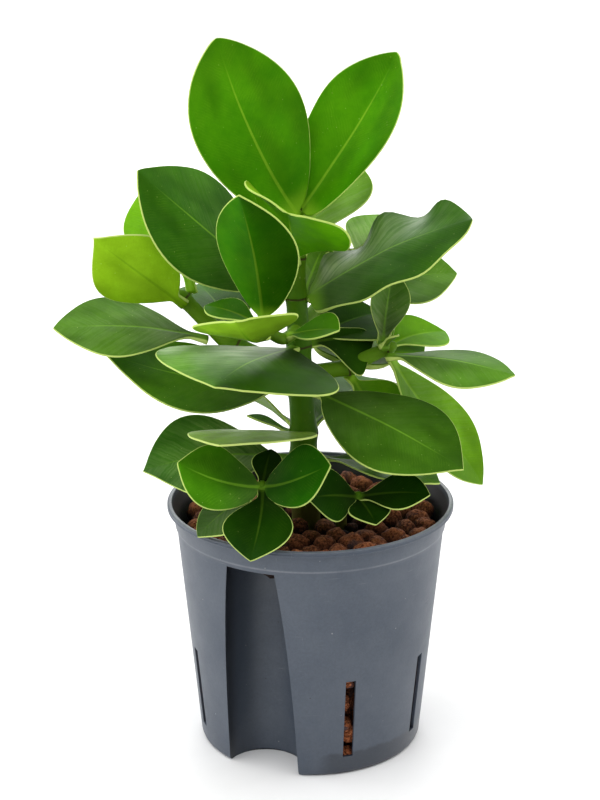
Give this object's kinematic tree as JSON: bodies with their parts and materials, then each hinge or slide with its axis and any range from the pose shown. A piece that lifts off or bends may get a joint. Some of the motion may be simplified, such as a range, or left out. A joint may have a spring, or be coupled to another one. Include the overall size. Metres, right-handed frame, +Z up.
{
  "type": "potted houseplant",
  "caption": "Small upright plant with stiff egg-shaped leaves on one thick stem, in a round slotted hydroculture pot of clay pebbles with a water gauge recess.",
  "frame": {"origin": "centre of the pot's underside, on the surface it stands on", "axes": "+Z up the stem; -Y towards the side with the water gauge recess, which faces 26 degrees left of -Y; +X to the right seen from there"},
  "size_m": [0.2024, 0.1726, 0.3245],
  "materials": {
    "pot": "matt blue-grey moulded plastic",
    "pebbles": "rough fired clay, red-brown with dark pits",
    "stem": "smooth green bark, browner at the pebbles",
    "leaf": "stiff waxy leaf, satin, with a pale margin",
    "young": "bright young leaf, satin, with a pale margin",
    "pale": "pale matt underside of a leaf"
  },
  "bodies": {
    "root": {"pot": "pot", "pebbles": "pebbles", "stem": "stem", "leaf_top_left": "young", "leaf_top_right": "young", "leaf_neck_back": "leaf", "leaf_neck_front": "pale", "leaf_upper_left": "leaf", "leaf_upper_right": "leaf", "leaf_middle_front": "leaf", "leaf_middle_back": "leaf", "leaf_fork_left": "leaf", "leaf_fork_right": "leaf", "leaf_ring_front": "leaf", "leaf_ring_back": "leaf", "leaf_ring_small": "leaf", "leaf_ring_left": "leaf", "leaf_low_left": "leaf", "leaf_low_right": "leaf", "leaf_left_pale": "pale", "leaf_left_upright": "young", "leaf_left_out": "leaf", "leaf_left_back": "leaf", "leaf_right_upright": "leaf", "leaf_right_out": "leaf", "leaf_right_young_big": "young", "leaf_right_young_small": "young", "leaf_right_bud": "leaf", "leaf_right_back": "leaf", "leaf_right_under": "leaf", "leaf_right_drooping": "leaf", "leaf_front_round": "leaf", "leaf_front_flat": "leaf", "leaf_front_small_left": "leaf", "leaf_front_small_right": "leaf", "leaf_back_shoot_right": "leaf", "leaf_back_shoot_left": "leaf", "leaf_back_shoot_high": "leaf", "leaf_back_shoot_back": "leaf", "rosette_left": "leaf", "rosette_right": "leaf"}
  },
  "joints": []
}
